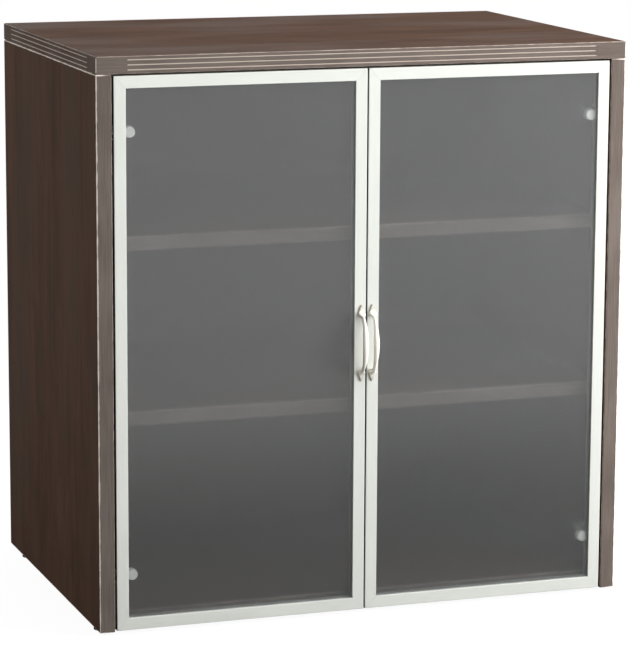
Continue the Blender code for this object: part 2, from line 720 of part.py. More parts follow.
def build_hinge_cup(name, side, place, axis, metal):
    """The door's half: a round-ended body, a flange on the stile and two ears for the pin."""
    start_u, end_u = CUP_NECK_U
    half, mouth = CUP_NECK_HALF_HEIGHT, CUP_MOUTH_HALF_HEIGHT
    bm = bmesh.new()
    opening_angle = math.degrees(math.asin(mouth / CUP_RADIUS))
    outline = [(start_u, -half), (end_u, -half), (end_u, -mouth)]
    outline += arc((CUP_CENTRE_U, 0.0), CUP_RADIUS, -180 + opening_angle, 180 - opening_angle, 16)
    outline += [(end_u, mouth), (end_u, half), (start_u, half)]
    hinge_prism(bm, side, outline, *CUP_V, "uz")
    cup = add_object(f"{name}_cup", bm, metal, parent=axis, location=place)
    bevel(cup, CUP_EDGE, segments=1)

    bm = bmesh.new()
    (tab_u, inner_u), tab_z = FLANGE_U, FLANGE_HALF_HEIGHT
    open_u, open_z = FLANGE_MOUTH
    outline = [(tab_u, -tab_z), (inner_u, -tab_z), (inner_u, tab_z), (tab_u, tab_z),
               (tab_u, open_z), (open_u, open_z), (open_u, -open_z), (tab_u, -open_z)]
    seat = DOOR_THICKNESS + GAP
    hinge_prism(bm, side, outline, seat, seat + FLANGE_THICKNESS, "uz")
    flange = add_object(f"{name}_flange_operand", bm, metal, parent=axis, location=place)
    boolean(cup, flange, "UNION")

    root_front, root_back = EAR_ROOT_V
    outline = [(EAR_ROOT_U, root_front), (EAR_ROOT_U, root_back), (PIVOT_U, root_back)]
    outline += arc((PIVOT_U, PIVOT_V), EAR_RADIUS, 90, 380, 12)
    inside = ARM_HALF_HEIGHT + EAR_CLEARANCE
    for number, (low, high) in enumerate(((inside, EAR_HALF_HEIGHT), (-EAR_HALF_HEIGHT, -inside))):
        bm = bmesh.new()
        hinge_prism(bm, side, outline, low, high, "uv")
        ear = add_object(f"{name}_ear_operand_{number}", bm, metal, parent=axis, location=place)
        boolean(cup, ear, "UNION")
    boolean(cup, pin_hole_cutter(f"{name}_cup_hole_cutter", place, axis, metal), "DIFFERENCE")


def build_hinge_pin(name, place, axis, metal):
    """A headed pin, captive in the cup's ears."""
    radius = HINGE_PIN_RADIUS
    head = radius + 0.0011
    seat = EAR_HALF_HEIGHT + GAP
    half = ((radius, seat), (head, seat), (head, seat + 0.0006), (head - 0.0005, seat + 0.0010))
    profile = [(r, -z) for r, z in reversed(half)] + list(half)
    bm = bmesh.new()
    add_turned(bm, profile, 12)
    add_object(f"{name}_pin", bm, metal, parent=axis, location=place, smooth_below=40)


def build_hinge_arm(name, side, pivot, metal):
    """The case's half: a knuckle on the pin, a thin neck and the arm on its plate."""
    half_neck = ARM_NECK_HALF_WIDTH
    start = math.degrees(math.asin(half_neck / KNUCKLE_RADIUS))
    outline = arc((PIVOT_U, PIVOT_V), KNUCKLE_RADIUS, 90 + start, 450 - start, 14)
    outline += [(PIVOT_U + half_neck, ARM_NECK_END_V), *ARM_OUTLINE,
                (PIVOT_U - half_neck, ARM_NECK_END_V)]
    bm = bmesh.new()
    hinge_prism(bm, side, outline, -ARM_HALF_HEIGHT, ARM_HALF_HEIGHT, "uv")
    arm = add_object(f"{name}_arm", bm, metal, location=pivot)
    boolean(arm, pin_hole_cutter(f"{name}_arm_hole_cutter", pivot, None, metal), "DIFFERENCE")


def build_mounting_plate(name, side, pivot, metal):
    """A winged plate screwed to the side panel, with a raised rib that the arm clips on."""
    base_u = -DOOR_SIDE_GAP + GAP
    half, wing = PLATE_HALF_HEIGHT, WING_HALF_HEIGHT
    upper = [(PLATE_V[0], half), (WING_ROOT_V[0], half), (WING_TIP_V[0], wing),
             (WING_TIP_V[1], wing), (WING_ROOT_V[1], half), (PLATE_V[1], half)]
    outline = upper + [(v, -z) for v, z in reversed(upper)]
    bm = bmesh.new()
    points = [(v - PIVOT_V, z) for v, z in outline]
    add_prism(bm, points, side * (PIVOT_U - base_u), side * (PIVOT_U - base_u - PLATE_THICKNESS),
              (1, 2, 0))
    plate = add_object(f"{name}_mounting_plate", bm, metal, location=pivot)
    bm = bmesh.new()
    rib_x = sorted((side * (PIVOT_U - RIB_TOP_U), side * (PIVOT_U - base_u - RIB_SINK)))
    add_box(bm, (rib_x[0], RIB_V[0] - PIVOT_V, -RIB_HALF_HEIGHT),
            (rib_x[1], RIB_V[1] - PIVOT_V, RIB_HALF_HEIGHT))
    rib_operand = add_object(f"{name}_rib_operand", bm, metal, location=pivot)
    boolean(plate, rib_operand, "UNION")


def build_magnetic_catch(plastic):
    low_v, high_v = CATCH_V
    panel("magnetic_catch",
          (-CATCH_HALF_WIDTH, FRONT_Y + low_v, TOP_UNDERSIDE_Z - GAP - CATCH_HEIGHT),
          (CATCH_HALF_WIDTH, FRONT_Y + high_v, TOP_UNDERSIDE_Z - GAP), plastic)


# ---------------------------------------------------------------- model


def clear_scene():
    for existing in list(bpy.data.objects):
        bpy.data.objects.remove(existing, do_unlink=True)


def main():
    clear_scene()
    looks = {
        "laminate": material("laminate", (74, 58, 50), 0.45),
        "board": material("board", (64, 52, 46), 0.7),
        "aluminium": material("aluminium", (222, 223, 220), 0.35, metallic=1.0),
        "glass": material("frosted_glass", (120, 121, 118), 0.5, transmission=0.6),
        "nickel": material("nickel", (196, 190, 178), 0.3, metallic=1.0),
        "steel": material("zinc_steel", (185, 187, 188), 0.35, metallic=1.0),
        "rubber": material("rubber", (120, 120, 118), 0.8),
        "plastic": material("black_plastic", (38, 38, 40), 0.5),
    }
    build_case(looks["laminate"], looks["board"])
    build_shelf_pins(looks["steel"])
    build_glides(looks["plastic"], looks["steel"])
    build_magnetic_catch(looks["plastic"])
    for side_name, side in SIDES.items():
        build_door(side_name, side, looks)


main()
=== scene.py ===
"""Looks of the two-door glass bookcase: materials, small hardware, floor, light and camera.

Everything is in metres in the row frame: +X right, the doors face -Y, +Z up. "side" is -1
for the left and +1 for the right.
"""

import json
import math

import bmesh
import bpy
from mathutils import Matrix, Vector


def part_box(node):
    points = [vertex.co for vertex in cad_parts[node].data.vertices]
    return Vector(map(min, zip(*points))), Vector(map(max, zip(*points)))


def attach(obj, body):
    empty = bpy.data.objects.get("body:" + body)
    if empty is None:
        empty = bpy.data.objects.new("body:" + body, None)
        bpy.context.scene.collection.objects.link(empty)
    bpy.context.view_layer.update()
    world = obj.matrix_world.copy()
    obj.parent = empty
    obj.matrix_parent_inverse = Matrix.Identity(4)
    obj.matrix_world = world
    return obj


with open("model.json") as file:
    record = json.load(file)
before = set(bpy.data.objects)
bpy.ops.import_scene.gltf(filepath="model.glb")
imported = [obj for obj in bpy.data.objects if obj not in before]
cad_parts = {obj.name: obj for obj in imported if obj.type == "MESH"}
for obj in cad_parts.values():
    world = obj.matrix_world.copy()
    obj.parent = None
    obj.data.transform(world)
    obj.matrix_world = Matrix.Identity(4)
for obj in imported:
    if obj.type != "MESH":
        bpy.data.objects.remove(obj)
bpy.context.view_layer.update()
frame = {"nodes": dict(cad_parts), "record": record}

SIDES = {"left": -1, "right": 1}
AXES = {"x": 0, "y": 1, "z": 2}

# Camera: where it stands, how it is turned (radians), and its lens
CAMERA_PLACE = (-1.7349, -4.9907, 1.4405)
CAMERA_YAW = -0.3369
CAMERA_PITCH = -0.1874
CAMERA_ROLL = -0.0051
CAMERA_LENS = 171.6

# Light: a surround that is brightest towards one direction, and four soft panels. The floor
# glows for the camera only
SURROUND_DIM = 0.14
SURROUND_BRIGHT = 1.20
SURROUND_TOWARDS = (0.45, -0.85, 0.25)
SURROUND_START = 0.10
KEY_PLACE = (2.9, -1.9, 0.95)
KEY_SIZE = 1.5
KEY_POWER = 160.0
FILL_PLACE = (-4.0, 0.4, 1.9)
FILL_SIZE = 2.0
FILL_POWER = 70.0
OVERHEAD_PLACE = (1.7, -0.8, 2.6)
OVERHEAD_SIZE = 2.2
OVERHEAD_POWER = 96.0
REAR_PLACE = (0.7, 4.6, 1.4)
REAR_SIZE = 3.0
REAR_POWER = 200.0
LIGHTS_AIM = (0.0, 0.0, 0.5)
FLOOR_HALF = 1.5
FLOOR_LEVELS = (70, 76)
FLOOR_GLOW = 0.95

# Laminate colours, as 0-255 display levels; a dictionary goes by the axis of the grain
WOOD_DARK = (66, 49, 39)
WOOD_LIGHT = (89, 66, 53)
# A random grey cast; on boards with grain along x it is lighter and stronger, a painted sheen on
# the horizontal faces
WOOD_GREY_AND_SHEEN = {"x": (90, 78, 72), "z": (78, 63, 54)}
WOOD_GREYING_AND_SHEEN = {"x": 0.85, "z": 0.5}
BAND_DARK = (88, 79, 73)
BAND_LIGHT = (103, 94, 88)
# Painted highlights along the laminate's corners: the first on most boards, the second on the
# uprights
EDGE_HIGHLIGHT = (182, 170, 161)
UPRIGHT_EDGE_HIGHLIGHT = (226, 214, 204)
CORE = (196, 184, 174)
PORE_DEPTH = 0.72
SIDE_BAND = 0.30
# The uprights' bands are toned as painted light and shade: the left darker, the right lighter
LEFT_BAND_PAINTED_SHADE = 0.95
RIGHT_BAND_PAINTED_LIGHT = 1.03

# Laminate gloss, and the share of each pattern in its figure
WOOD_ROUGHNESS = 0.54
WOOD_SPECULAR = 0.18
FIGURE_SHARE = 0.26
STREAKS_SHARE = 0.36
BLOTCHES_SHARE = 0.38
WOOD_RELIEF = 0.00012

# Laminate edges: how far the broad faces wrap round, the zone of the grooves below the top
# face, and how strongly and how far corners get a painted highlight
EASED_EDGE = 0.0018
GROOVE_ZONE = (0.0030, 0.0250)
GROOVE_SOFTNESS = 0.0002
EDGE_HIGHLIGHT_REACH = (0.0010, 0.0016)
EDGE_HIGHLIGHT_STRENGTH = 0.75
UPRIGHT_HIGHLIGHT_STRENGTH = (0.42, 1.0)
UPRIGHT_HIGHLIGHT_REACH = (0.8, 1.6)

# Back board
HARDBOARD_DARK = (50, 40, 34)
HARDBOARD_LIGHT = (76, 62, 53)

# Glass
GLASS_DARK = (228, 230, 230)
GLASS_PALE = (240, 242, 242)
GLASS_TRANSMISSION = 0.965
GLASS_ROUGHNESS = 0.22
GLASS_IOR = 1.52

# Metal and plastic: the painted shade on the stiles' outer edges, a dark band for the shadow in the
# gaps, is measured from the frame's front
ALUMINIUM = (200, 202, 196)
GAP_SHADE = (46, 45, 44)
GAP_SHADE_DEPTHS = (0.0016, 0.0194)
GAP_SHADE_SOFTNESS = 0.0003
HANDLE_CREAM = (232, 228, 216)
# Painted shade on the handles' feet, darker where they lie low against the door
FOOT_SHADE = (128, 121, 106)
FOOT_SHADE_RISE = 0.0026
FOOT_SHADE_STRENGTH = 0.8
HINGE_PALE = (247, 247, 242)
ZINC = (190, 193, 196)
PALE_RUBBER = (200, 201, 197)
BLACK_PLASTIC = (34, 34, 36)

# Small hardware: (head radius, head height)
PLATE_SCREW = (0.0038, 0.0016)
CUP_SCREW = (0.0034, 0.0014)
ARM_SCREW = (0.0030, 0.0008)
CATCH_SCREW = (0.0032, 0.0014)
CLIP_SCREW = (0.0034, 0.0016)
SCREW_SIDES = 28
CROSS_ARM = 0.52
CROSS_HALF_SLOT = 0.11
CROSS_DEPTH = 0.55
CATCH_SCREW_FROM_END = 0.007
CATCH_SCREW_BEHIND_MIDDLE = 0.004
PLATE_WING_FROM_FRONT = 0.014
PLATE_WING_THICKNESS = 0.0018
PLATE_SCREW_OFFSET = 0.0154
CUP_SCREW_OFFSET = 0.0154
CUP_SCREW_FROM_EDGE = 0.0060
ARM_SCREWS_FROM_FRONT = (0.018, 0.040)
ARM_SCREW_SUNK = 0.0003

# Hinge caps: the neck is (where it ends, its half height)
HINGE_CUP_RADIUS = 0.0092
HINGE_CUP_BEHIND_FACE = 0.0118
HINGE_CAP_RADIUS = 0.0087
HINGE_CAP_HEIGHT = 0.0032
HINGE_CAP_NECK = (-0.0082, 0.0056)
HINGE_CAP_EASING = 0.0008
HINGE_CAP_STEPS = 28

# Door bumpers: straight is the share of the length below the dome
BUMPER_RADIUS = 0.0045
BUMPER_LENGTH = 0.0046
BUMPER_FROM_MEETING = 0.060
BUMPER_STRAIGHT = 0.45
BUMPER_SIDES = 24

# Corner keys: an outline of (distance from the corner along both edges, depth from the front)
CORNER_KEY_THICKNESS = 0.00022
CORNER_KEY = (
    (0.0006, 0.0004), (0.0194, 0.0004), (0.0194, 0.0014), (0.0144, 0.0014),
    (0.0144, 0.0086), (0.0194, 0.0086), (0.0194, 0.0204), (0.0006, 0.0204),
)

# Back clips: (length, width, height), then shares of the width or the height
BACK_CLIP = (0.026, 0.014, 0.0068)
BACK_CLIP_EASING = 0.0007
BACK_CLIP_FLAT = 0.22
BACK_CLIP_LOW_SIDE = 0.30
BACK_CLIP_SCREW_RISE = 0.62
BACK_CLIPS_EACH_SIDE = 4
BACK_CLIPS_ACROSS = 5

# Between pieces that rest on one another
GAP = 0.0002


# ---------------------------------------------------------------- shader graphs


def linear(levels):
    """0-255 display levels as a linear colour."""
    values = [level / 255 for level in levels]
    return [v / 12.92 if v <= 0.04045 else ((v + 0.055) / 1.055) ** 2.4 for v in values] + [1.0]


class Look:
    """A material built from nodes. Wherever a value is asked for, a socket will also do."""

    def __init__(self, name, metallic=0.0):
        self.material = bpy.data.materials.new(name)
        self.material.use_nodes = True
        self.tree = self.material.node_tree
        self.shader = self.tree.nodes["Principled BSDF"]
        self.shader.inputs["Metallic"].default_value = metallic
        self.place = self.add("ShaderNodeTexCoord").outputs["Object"]

    def add(self, kind, inputs=None, **settings):
        made = self.tree.nodes.new(kind)
        for key, value in settings.items():
            setattr(made, key, value)
        for key, value in (inputs or {}).items():
            self.feed(made.inputs[key], value)
        return made

    def feed(self, socket, value):
        if isinstance(value, bpy.types.NodeSocket):
            self.tree.links.new(value, socket)
        else:
            socket.default_value = value

    def set(self, socket, value):
        self.feed(self.shader.inputs[socket], value)

    def math(self, operation, *values):
        made = self.add("ShaderNodeMath", operation=operation)
        for socket, value in zip(made.inputs, values):
            self.feed(socket, value)
        return made.outputs[0]

    def stretched(self, scale, offset=(0.0, 0.0, 0.0)):
        """The object's coordinates, scaled on each axis."""
        inputs = {"Vector": self.place, "Scale": scale, "Location": offset}
        return self.add("ShaderNodeMapping", inputs).outputs[0]

    def noise(self, vector, scale, detail=2.0, roughness=0.5, distortion=0.0):
        inputs = {"Vector": vector, "Scale": scale, "Detail": detail, "Roughness": roughness,
                  "Distortion": distortion}
        return self.add("ShaderNodeTexNoise", inputs).outputs["Fac"]

    def fade(self, value, start, end, low=0.0, high=1.0):
        """Smoothly from low, where value is start, to high, where it is end."""
        inputs = {"Value": value, "From Min": start, "From Max": end, "To Min": low, "To Max": high}
        return self.add("ShaderNodeMapRange", inputs, interpolation_type="SMOOTHSTEP").outputs[0]

    def blend(self, factor, first, second):
        """Two colours mixed."""
        made = self.add("ShaderNodeMix", data_type="RGBA")
        self.feed(made.inputs[0], factor)
        self.feed(made.inputs[6], first)
        self.feed(made.inputs[7], second)
        return made.outputs[2]

    def total(self, *parts):
        """The sum of (value, share) pairs, each value times its share."""
        result = self.math("MULTIPLY", *parts[0])
        for value, share in parts[1:]:
            result = self.math("ADD", result, self.math("MULTIPLY", value, share))
        return result

    def bump(self, height, distance, strength=1.0):
        inputs = {"Height": height, "Distance": distance, "Strength": strength}
        self.set("Normal", self.add("ShaderNodeBump", inputs).outputs[0])


def along(axis, across, lengthwise):
    """A scale that stretches a pattern along an axis."""
    scale = [across] * 3
    scale[AXES[axis]] = lengthwise
    return scale


# ---------------------------------------------------------------- materials


def depth_below_faces(look, low, high):
    """A point's coordinates, split, and how far it lies inside a box along each axis."""
    separate = look.add("ShaderNodeSeparateXYZ", {"Vector": look.place})
    depths = []
    for i in range(3):
        offset = look.math("SUBTRACT", separate.outputs[i], (low[i] + high[i]) / 2)
        depths.append(look.math("SUBTRACT", (high[i] - low[i]) / 2, look.math("ABSOLUTE", offset)))
    return separate, depths


def edge_distance(look, depths):
    """The distance from a box's nearest edge, for a point on its surface."""
    pairs = [look.math("MAXIMUM", depths[i], depths[(i + 1) % 3]) for i in range(3)]
    return look.math("MINIMUM", look.math("MINIMUM", pairs[0], pairs[1]), pairs[2])


def wood_figure(look, grain, offset):
    """The colour of the broad faces, and the patterns that gloss and relief also follow."""
    figure = look.noise(look.stretched(along(grain, 1.0, 0.10), offset), 11.0, 3.0, 0.55, 1.1)
    streaks = look.noise(look.stretched(along(grain, 1.0, 0.035), offset), 130.0, 4.0, 0.6, 0.2)
    fibres = look.noise(look.stretched(along(grain, 1.0, 0.030), offset), 900.0, 2.0, 0.6)
    blotches = look.noise(look.stretched(along(grain, 1.0, 0.45), offset), 16.0, 4.0, 0.62, 0.4)
    shade = look.total((figure, FIGURE_SHARE), (streaks, STREAKS_SHARE), (blotches, BLOTCHES_SHARE))
    colour = look.blend(look.fade(shade, 0.36, 0.64), linear(WOOD_DARK), linear(WOOD_LIGHT))
    # A random grey cast, lighter and stronger on horizontal boards as a painted sheen
    cast = look.noise(look.stretched(along(grain, 1.0, 0.3), (2.0, 5.0, 1.0)), 7.0, 2.0)
    grey_and_sheen = look.fade(cast, 0.36, 0.62, 0.0, WOOD_GREYING_AND_SHEEN[grain])
    colour = look.blend(grey_and_sheen, colour, linear(WOOD_GREY_AND_SHEEN[grain]))
    pores = look.fade(fibres, 0.57, 0.70)
    dark = look.math("MULTIPLY", pores, look.fade(streaks, 0.40, 0.60, 0.15, 0.5))
    colour = look.blend(dark, colour, linear([level * PORE_DEPTH for level in WOOD_DARK]))
    return colour, streaks, fibres, blotches, pores


def edge_band(look, grain, separate, tone):
    """The colour of the band on a board's edges, streaked along the board."""
    if grain == "z":
        run = separate.outputs[2]
        cross = look.math("ADD", separate.outputs[0], separate.outputs[1])
    else:
        run = look.math("ADD", separate.outputs[0], separate.outputs[1])
        cross = separate.outputs[2]
    shortened = {"X": look.math("MULTIPLY", run, 0.03), "Y": cross}
    lengthwise = look.add("ShaderNodeCombineXYZ", shortened).outputs[0]
    streaks = look.noise(lengthwise, 420.0, 3.0, 0.6)
    cast = look.noise(look.place, 9.0, 2.0)
    shade = look.total((streaks, 0.6), (cast, 0.4))
    # A tone below 1 darkens the band as painted shade, one above 1 lightens it as painted light
    darker, lighter = ([level * tone for level in band] for band in (BAND_DARK, BAND_LIGHT))
    return look.blend(look.fade(shade, 0.36, 0.64), linear(darker), linear(lighter))


def painted_edge_highlights(look, colour, separate, depths, upright_span):
    """Corners with a painted highlight, pale along their edges. An upright's span is how far its
    two broad faces lie from x = 0.
    """
    highlight_patchiness = look.noise(look.place, 60.0, 3.0)
    reach = look.fade(highlight_patchiness, 0.3, 0.7, *EDGE_HIGHLIGHT_REACH)
    highlight_strength = EDGE_HIGHLIGHT_STRENGTH
    if upright_span:
        outer = look.fade(look.math("ABSOLUTE", separate.outputs[0]), *upright_span)
        highlight_strength = look.fade(outer, 0.0, 1.0, *UPRIGHT_HIGHLIGHT_STRENGTH)
        reach = look.math("MULTIPLY", reach, look.fade(outer, 0.0, 1.0, *UPRIGHT_HIGHLIGHT_REACH))
    nearness = look.math("DIVIDE", edge_distance(look, depths), reach)
    highlit = look.math("SUBTRACT", 1.0, look.fade(nearness, 0.5, 1.0))
    pale = linear(UPRIGHT_EDGE_HIGHLIGHT if upright_span else EDGE_HIGHLIGHT)
    return look.blend(look.math("MULTIPLY", highlit, highlight_strength), colour, pale)


def groove_core(look, colour, separate, depths, top):
    """The pale core that shows inside the grooves."""
    inside = look.fade(look.math("MINIMUM", depths[0], depths[1]), 0.00012, 0.0002)
    below_top = look.math("SUBTRACT", top, separate.outputs[2])
    for limit, end in zip(GROOVE_ZONE, (GROOVE_SOFTNESS, -GROOVE_SOFTNESS)):
        zone = look.fade(look.math("SUBTRACT", below_top, limit), 0.0, end)
        inside = look.math("MULTIPLY", inside, zone)
    return look.blend(inside, colour, linear(CORE))


def laminate(node, grain, broad_axis, upright=False, grooves=False, band_light_and_shade=1.0):
    """Dark wood-grain laminate for one board, with a greyer band on its edges.

    grain is the axis that the figure runs along, and broad_axis the one square to the
    board's broad faces. An upright has a stronger painted highlight on its outer corners than
    next to the door.
    A tone factor below 1 darkens the band as painted shade, one above 1 lightens it as painted
    light.
    """
    low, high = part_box(node)
    look = Look(f"laminate_{node}")
    offset = (low.x * 3.1, low.y * 1.7 + high.z, low.z * 2.3)
    colour, streaks, fibres, blotches, pores = wood_figure(look, grain, offset)
    separate, depths = depth_below_faces(look, low, high)
    on_band = look.fade(depths[AXES[broad_axis]], EASED_EDGE * 0.5, EASED_EDGE)
    from_front = look.fade(depths[1], EASED_EDGE * 0.5, EASED_EDGE, 1.0, SIDE_BAND)
    on_band = look.math("MULTIPLY", on_band, from_front)
    colour = look.blend(on_band, colour, edge_band(look, grain, separate, band_light_and_shade))
    upright_span = sorted((abs(low.x), abs(high.x))) if upright else None
    # Painted highlights along the corners
    colour = painted_edge_highlights(look, colour, separate, depths, upright_span)
    if grooves:
        colour = groove_core(look, colour, separate, depths, high.z)
    look.set("Base Color", colour)

    gloss = look.math("ADD", blotches, look.math("MULTIPLY", fibres, 0.4))
    look.set("Roughness", look.fade(gloss, 0.5, 0.9, WOOD_ROUGHNESS - 0.05, WOOD_ROUGHNESS + 0.05))
    look.set("Specular IOR Level", WOOD_SPECULAR)
    relief = look.math("SUBTRACT", look.math("MULTIPLY", streaks, 0.4),
                       look.math("MULTIPLY", pores, 0.6))
    look.bump(relief, WOOD_RELIEF, 0.5)
    return look.material


def back_board():
    """Thin dark hardboard, with short fibres pressed into its face."""
    look = Look("back_board")
    fibres = look.noise(look.stretched((1.0, 1.0, 0.35)), 520.0, 4.0, 0.65, 0.8)
    clouds = look.noise(look.place, 9.0, 4.0, 0.6)
    shade = look.total((fibres, 0.55), (clouds, 0.45))
    look.set("Base Color", look.blend(look.fade(shade, 0.35, 0.65), linear(HARDBOARD_DARK),
                                      linear(HARDBOARD_LIGHT)))
    look.set("Roughness", look.fade(clouds, 0.3, 0.7, 0.62, 0.8))
    look.bump(fibres, 0.0002, 0.5)
    return look.material


def brushed_metal(name, levels, axis, roughness, metallic, contrast, over=None):
    """Satin metal with fine lines along an axis, soft staining and varied gloss.

    over, if given, lays something more over the colour: it takes the look and the colour.
    """
    look = Look(name, metallic)
    lines = look.noise(look.stretched(along(axis, 1.0, 0.012)), 2600.0, 3.0, 0.6)
    haze = look.noise(look.stretched(along(axis, 1.0, 0.25)), 30.0, 2.0, 0.5)
    shade = look.total((lines, 0.65), (haze, 0.35))
    darker = [level * (1 - contrast) for level in levels]
    lighter = [min(255, level * (1 + contrast)) for level in levels]
    colour = look.blend(look.fade(shade, 0.36, 0.64), linear(darker), linear(lighter))
    look.set("Base Color", over(look, colour) if over else colour)
    look.set("Roughness", look.fade(shade, 0.35, 0.65, roughness - 0.03, roughness + 0.03))
    look.bump(lines, 0.00002, 0.25)
    return look.material


def painted_gap_shade(look, colour):
    """Painted shade: a dark band on the outer edge of every stile, standing for the shadow in the
    gaps.
    """
    separate = look.add("ShaderNodeSeparateXYZ", {"Vector": look.place})
    across = look.math("ABSOLUTE", separate.outputs[0])
    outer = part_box("right_door_hinge_stile")[1].x
    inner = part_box("right_door_meeting_stile")[0].x
    on_edge = look.math("MAXIMUM", look.fade(across, outer - 0.0004, outer - 0.0002),
                        look.fade(across, inner + 0.0002, inner + 0.0004, 1.0, 0.0))
    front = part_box("right_door_hinge_stile")[0].y
    depth = look.math("SUBTRACT", separate.outputs[1], front)
    start, end = GAP_SHADE_DEPTHS
    within = look.math("MULTIPLY", look.fade(depth, start, start + GAP_SHADE_SOFTNESS),
                       look.fade(depth, end - GAP_SHADE_SOFTNESS, end, 1.0, 0.0))
    return look.blend(look.math("MULTIPLY", on_edge, within), colour, linear(GAP_SHADE))


def painted_foot_shade(look, colour):
    """Painted shade that lies in the low tips and shoulders of the handles' feet, darker close to
    the door.
    """
    separate = look.add("ShaderNodeSeparateXYZ", {"Vector": look.place})
    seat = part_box("right_door_handle")[1].y
    rise = look.math("SUBTRACT", seat, separate.outputs[1])
    unevenness = look.noise(look.place, 620.0, 3.0, 0.6)
    low = look.fade(look.math("ADD", rise, look.math("MULTIPLY", unevenness, FOOT_SHADE_RISE)),
                    FOOT_SHADE_RISE, FOOT_SHADE_RISE * 1.7, 1.0, 0.0)
    return look.blend(look.math("MULTIPLY", low, FOOT_SHADE_STRENGTH), colour, linear(FOOT_SHADE))


def frosted_glass():
    """Acid-etched glass: a sandy matt surface that blurs and greys what is behind it."""
    look = Look("frosted_glass")
    grit = look.noise(look.place, 1500.0, 3.0, 0.7)
    fleck = look.noise(look.stretched((0.45, 1.0, 1.0)), 420.0, 2.0, 0.6)
    shade = look.total((grit, 0.35), (fleck, 0.65))
    look.set("Base Color", look.blend(look.fade(shade, 0.35, 0.65), linear(GLASS_DARK),
                                      linear(GLASS_PALE)))
    look.set("Roughness", look.fade(grit, 0.3, 0.7, GLASS_ROUGHNESS - 0.01, GLASS_ROUGHNESS + 0.01))
    look.set("Transmission Weight", GLASS_TRANSMISSION)
    look.set("IOR", GLASS_IOR)
    look.bump(grit, 0.00003, 0.25)
    return look.material


def moulded(name, levels, roughness, grain_scale, relief):
    """Moulded plastic or rubber with a fine spark-eroded texture."""
    look = Look(name)
    grain = look.noise(look.place, grain_scale, 3.0, 0.6)
    haze = look.noise(look.place, 45.0, 2.0)
    shade = look.total((grain, 0.5), (haze, 0.5))
    lighter = [min(255, level * 1.18 + 4) for level in levels]
    colour = look.blend(look.fade(shade, 0.35, 0.65), linear(levels), linear(lighter))
    look.set("Base Color", colour)
    look.set("Roughness", look.fade(haze, 0.3, 0.7, roughness - 0.06, roughness + 0.08))
    look.bump(grain, relief, 0.5)
    return look.material


def floor_finish():
    """Matt floor that looks white, but lights the object only by what it reflects."""
    look = Look("floor")
    tone = look.noise(look.place, 1.5, 3.0)
    pale, paler = (linear([level] * 3) for level in FLOOR_LEVELS)
    look.set("Base Color", look.blend(tone, pale, paler))
    look.set("Roughness", 0.9)
    look.set("Specular IOR Level", 0.1)
    look.set("Emission Color", (1.0, 1.0, 1.0, 1.0))
    seen = look.add("ShaderNodeLightPath").outputs["Is Camera Ray"]
    look.set("Emission Strength", look.math("MULTIPLY", seen, FLOOR_GLOW))
    return look.material


def finish_nodes(looks):
    """Every CAD node gets the finish of its slot, turned to suit the node."""
    boards = {
        "top_panel": laminate("top_panel", "x", "z", grooves=True),
        "left_side_panel": laminate("left_side_panel", "z", "x", upright=True,
                                    band_light_and_shade=LEFT_BAND_PAINTED_SHADE),
        "right_side_panel": laminate("right_side_panel", "z", "x", upright=True,
                                     band_light_and_shade=RIGHT_BAND_PAINTED_LIGHT),
        "bottom_panel": laminate("bottom_panel", "x", "z"),
        "upper_shelf": laminate("upper_shelf", "x", "z"),
        "lower_shelf": laminate("lower_shelf", "x", "z"),
    }
    slots = {part["node"]: part["material_slot"] for part in frame["record"]["subparts"]}
    for name, node in frame["nodes"].items():
        slot = slots[name]
        if slot == "dark_laminate":
            finish = boards[name]
        elif slot == "door_aluminium":
            finish = looks["aluminium_upright" if "stile" in name else "aluminium_level"]
        else:
            finish = looks[slot]
        node.data.materials.clear()
        node.data.materials.append(finish)


# ---------------------------------------------------------------- small hardware


def turned(bm, profile, sides):
    """Revolve a (radius, height) profile about +Z, closed at both ends."""
    rings = []
    for radius, height in profile:
        ring = []
        for i in range(sides):
            angle = 2 * math.pi * i / sides
            ring.append(bm.verts.new((radius * math.cos(angle), radius * math.sin(angle), height)))
        rings.append(ring)
    for ring, following in zip(rings, rings[1:]):
        for i in range(sides):
            j = (i + 1) % sides
            bm.faces.new((ring[i], ring[j], following[j], following[i]))
    bm.faces.new(rings[0])
    bm.faces.new(rings[-1])


def close_prism(bm, rings):
    """Faces between and over two rings of vertices."""
    for i in range(len(rings[0])):
        j = (i + 1) % len(rings[0])
        bm.faces.new((rings[0][i], rings[0][j], rings[1][j], rings[1][i]))
    bm.faces.new(rings[0])
    bm.faces.new(rings[1])


def finished_mesh(name, bm, smooth_below=40):
    bmesh.ops.recalc_face_normals(bm, faces=bm.faces[:])
    mesh = bpy.data.meshes.new(name)
    bm.to_mesh(mesh)
    bm.free()
    mesh.shade_smooth()
    mesh.set_sharp_from_angle(angle=math.radians(smooth_below))
    return mesh


def cut(mesh, cutter_mesh):
    """The first mesh less the second."""
    target = bpy.data.objects.new("cut_target", mesh)
    cutter = bpy.data.objects.new("cut_cutter", cutter_mesh)
    for made in (target, cutter):
        bpy.context.collection.objects.link(made)
    step = target.modifiers.new("Cut", "BOOLEAN")
    step.operation = "DIFFERENCE"
    step.solver = "EXACT"
    step.object = cutter
    graph = bpy.context.evaluated_depsgraph_get()
    result = bpy.data.meshes.new_from_object(target.evaluated_get(graph))
    for made in (target, cutter):
        bpy.data.objects.remove(made)
    return result


